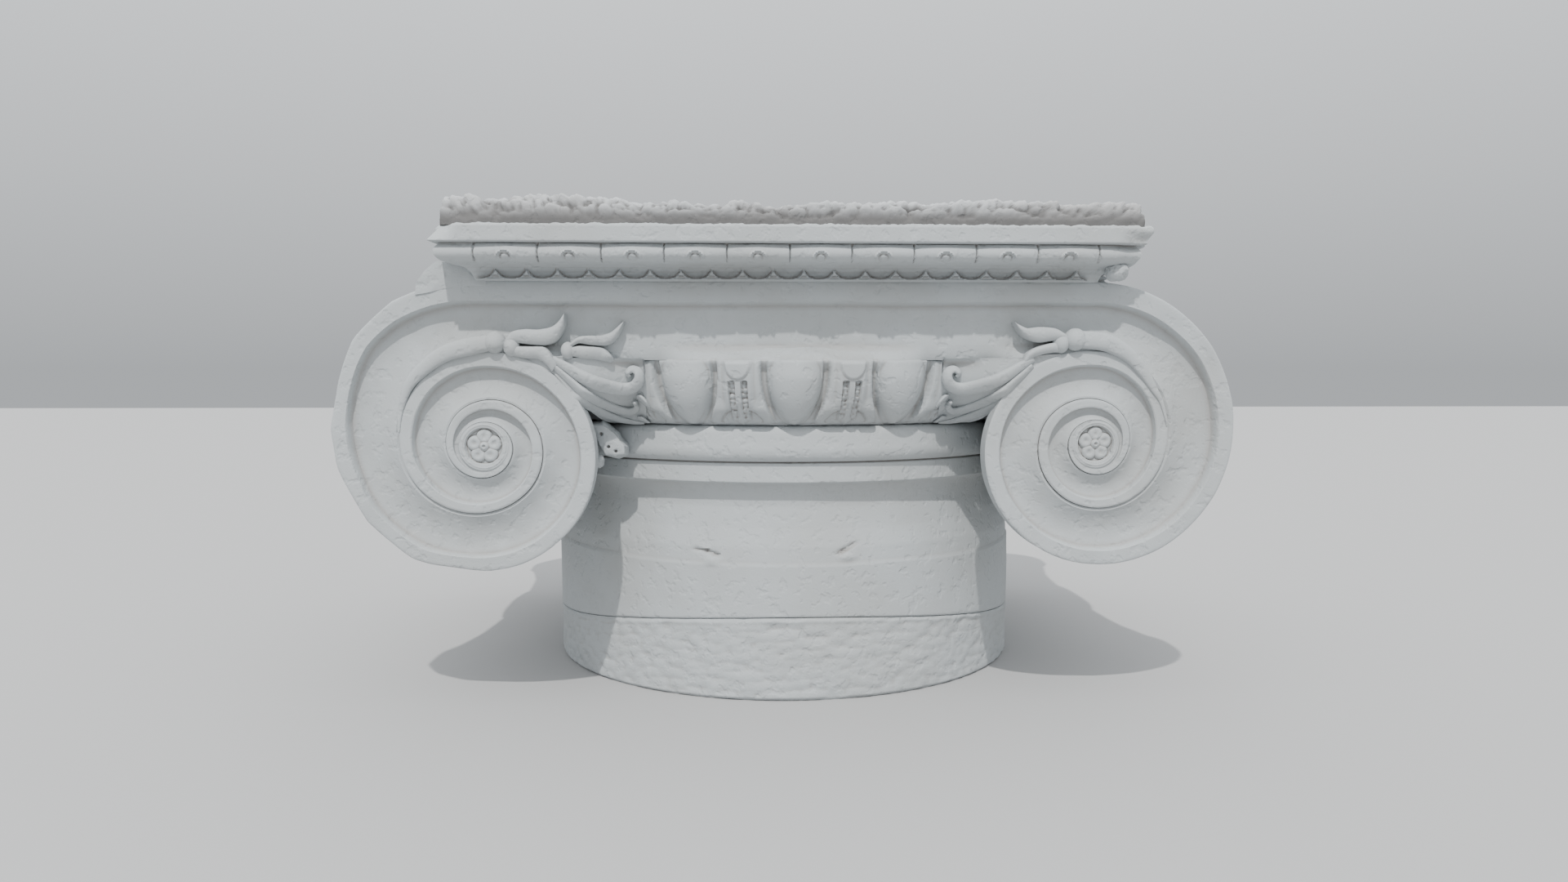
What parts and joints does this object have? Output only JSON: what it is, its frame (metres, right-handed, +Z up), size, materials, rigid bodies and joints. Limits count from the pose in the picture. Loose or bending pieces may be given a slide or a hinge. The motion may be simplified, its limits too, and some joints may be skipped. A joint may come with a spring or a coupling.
{
  "type": "ionic capital",
  "caption": "Carved stone ionic capital with scrolled volutes, egg-and-dart echinus and moulded abacus, on a short rough drum.",
  "frame": {"origin": "centre of the drum's flat underside", "axes": "+Z up along the column, -Y towards the carved front, +X to the right as the front is seen"},
  "size_m": [0.897, 0.691, 0.4945],
  "materials": {
    "carved_stone": "matte",
    "hammered_stone": "rough"
  },
  "bodies": {
    "root": {"capital": "carved_stone", "rough_drum": "hammered_stone"}
  },
  "joints": []
}
